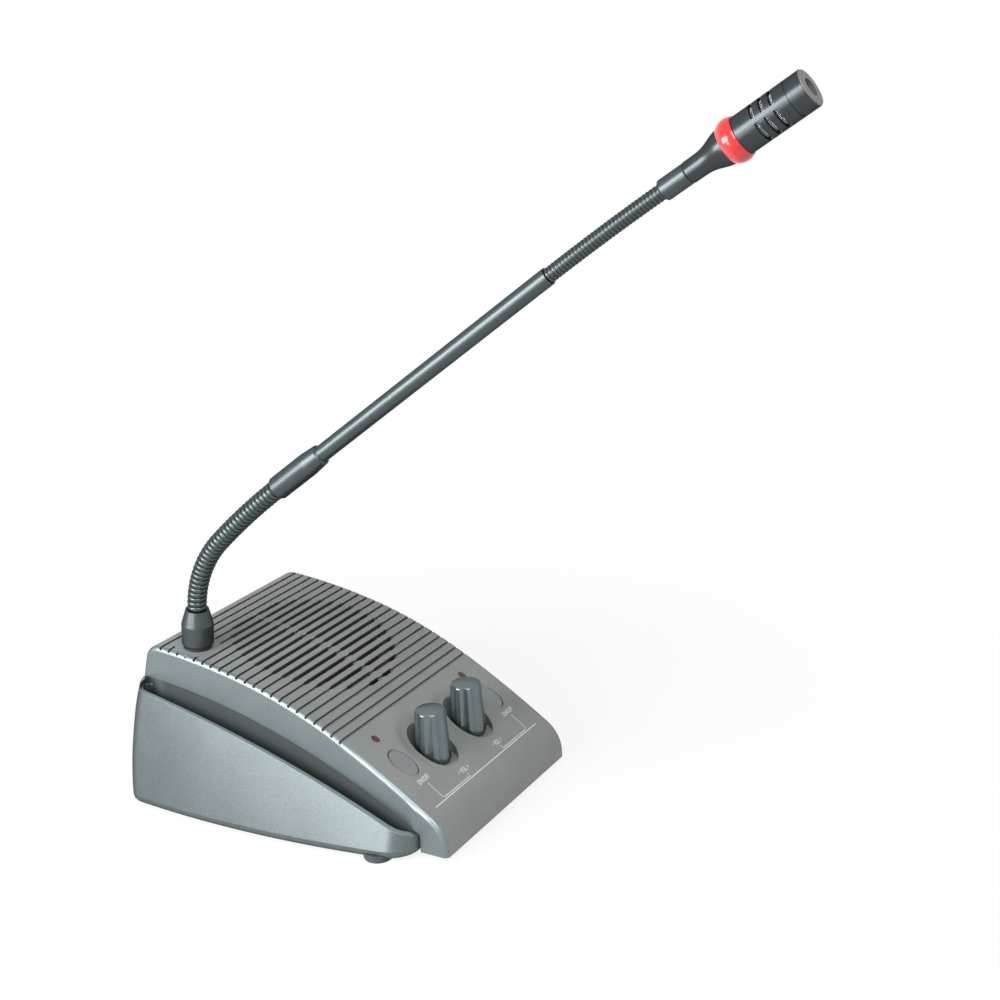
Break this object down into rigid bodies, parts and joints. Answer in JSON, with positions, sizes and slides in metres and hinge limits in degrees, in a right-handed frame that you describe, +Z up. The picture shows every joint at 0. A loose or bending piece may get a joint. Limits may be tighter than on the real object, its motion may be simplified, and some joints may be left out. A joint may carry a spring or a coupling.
{
  "type": "desk intercom with gooseneck microphone",
  "caption": "Wedge desk intercom: slotted speaker grille, two volume knobs, two push buttons, and a gooseneck microphone with a red light ring.",
  "frame": {"origin": "middle of the shallow label seat in the flat underside, half way between the case's rear face and front face", "axes": "+X to the user's right, -Y towards the user (front of the case), +Z up"},
  "size_m": [0.1522, 0.3281, 0.3391],
  "materials": {
    "cover": "fine matte grey texture on top, metallic silver-blue on the sides",
    "case": "metallic silver-blue paint, satin",
    "rubber": "matte dark grey rubber",
    "steel": "zinc plated",
    "speaker_metal": "black painted pressed steel",
    "cone_paper": "matte black cone",
    "ferrite": "grey sintered ferrite",
    "board": "green solder mask",
    "component": "black moulded",
    "heatsink": "plain extruded aluminium",
    "header": "off-white nylon",
    "knob": "glossy blue-grey",
    "button": "satin grey",
    "lamp_lens": "dark red diffused lens",
    "mic_black": "charcoal satin paint",
    "flex_black": "charcoal coated spring steel",
    "head_black": "near-black satin gloss",
    "brass": "nickel plated brass",
    "lead": "black insulated lead",
    "red_ring": "translucent red",
    "mesh": "dark woven wire",
    "disc": "light grey satin disc"
  },
  "bodies": {
    "case": {"amplifier_chip": "component", "amplifier_heatsink": "heatsink", "board_capacitors": "component", "board_screws": "steel", "bottom_case": "case", "case_screws": "steel", "collar_nut": "brass", "collar_washer": "steel", "lead_headers": "header", "left_lamp": "lamp_lens", "left_switch": "component", "left_volume_pot": "steel", "lower_flex_a": "flex_black", "main_board": "board", "mic_collar": "mic_black", "outside_unit_socket": "component", "panel_board": "board", "power_socket": "component", "recorder_socket": "component", "right_lamp": "lamp_lens", "right_switch": "component", "right_volume_pot": "steel", "rubber_feet": "rubber", "speaker_cone": "cone_paper", "speaker_frame": "speaker_metal", "speaker_gasket": "rubber", "speaker_magnet": "ferrite", "speaker_screws": "steel", "top_cover": "cover"},
    "flex_mid": {"lower_flex_b": "flex_black"},
    "stem": {"lower_ferrule": "mic_black", "stem_tube": "mic_black", "stem_lead": "lead", "tube_plug": "brass", "upper_flex_a": "flex_black"},
    "neck_mid": {"upper_flex_b": "flex_black"},
    "mic_head": {"upper_ferrule": "mic_black", "head_lead": "lead", "mic_neck": "head_black", "light_ring": "red_ring", "ring_lamp_board": "board", "mic_barrel": "head_black", "barrel_mesh": "mesh", "front_disc": "disc", "mic_capsule": "heatsink", "capsule_holder": "rubber", "capsule_lead": "lead"},
    "left_dial": {"left_knob": "knob", "left_pot_shaft": "steel"},
    "left_push": {"left_button": "button", "left_switch_plunger": "component"},
    "right_dial": {"right_knob": "knob", "right_pot_shaft": "steel"},
    "right_push": {"right_button": "button", "right_switch_plunger": "component"}
  },
  "joints": [
    {"name": "left_dial_turn", "type": "hinge", "parent": "case", "child": "left_dial", "pos_m": [-0.0159, -0.0567, 0.0248], "axis": [0, 0, 1], "range_deg": [-150, 150]},
    {"name": "right_dial_turn", "type": "hinge", "parent": "case", "child": "right_dial", "pos_m": [0.0159, -0.0567, 0.0248], "axis": [0, 0, 1], "range_deg": [-150, 150]},
    {"name": "left_push_travel", "type": "slide", "parent": "case", "child": "left_push", "axis": [0, 0, -1], "range_m": [0, 0.0015], "stiffness_N_per_m": 400, "springref_m": -0.0008},
    {"name": "right_push_travel", "type": "slide", "parent": "case", "child": "right_push", "axis": [0, 0, -1], "range_m": [0, 0.0015], "stiffness_N_per_m": 400, "springref_m": -0.0008},
    {"name": "lower_flex_swing", "type": "hinge", "parent": "case", "child": "flex_mid", "pos_m": [-0.04243, 0.04922, 0.11355], "axis": [-0.1633, 0.8811, 0.4438], "range_deg": [-40, 40], "deforming": ["lower_flex_a"]},
    {"name": "lower_flex_pitch", "type": "hinge", "parent": "flex_mid", "child": "stem", "pos_m": [-0.03819, 0.0211, 0.14448], "axis": [0.9849, 0.1718, 0.0212], "range_deg": [-35, 40], "deforming": ["lower_flex_b"]},
    {"name": "upper_flex_swing", "type": "hinge", "parent": "stem", "child": "neck_mid", "pos_m": [-0.0125, -0.14195, 0.26631], "axis": [-0.0507, 0.5794, 0.8135], "range_deg": [-45, 45], "deforming": ["upper_flex_a"]},
    {"name": "upper_flex_pitch", "type": "hinge", "parent": "neck_mid", "child": "mic_head", "pos_m": [-0.0095, -0.16653, 0.28351], "axis": [0.9962, 0.0872, 0], "range_deg": [-45, 45], "deforming": ["upper_flex_b"]}
  ]
}
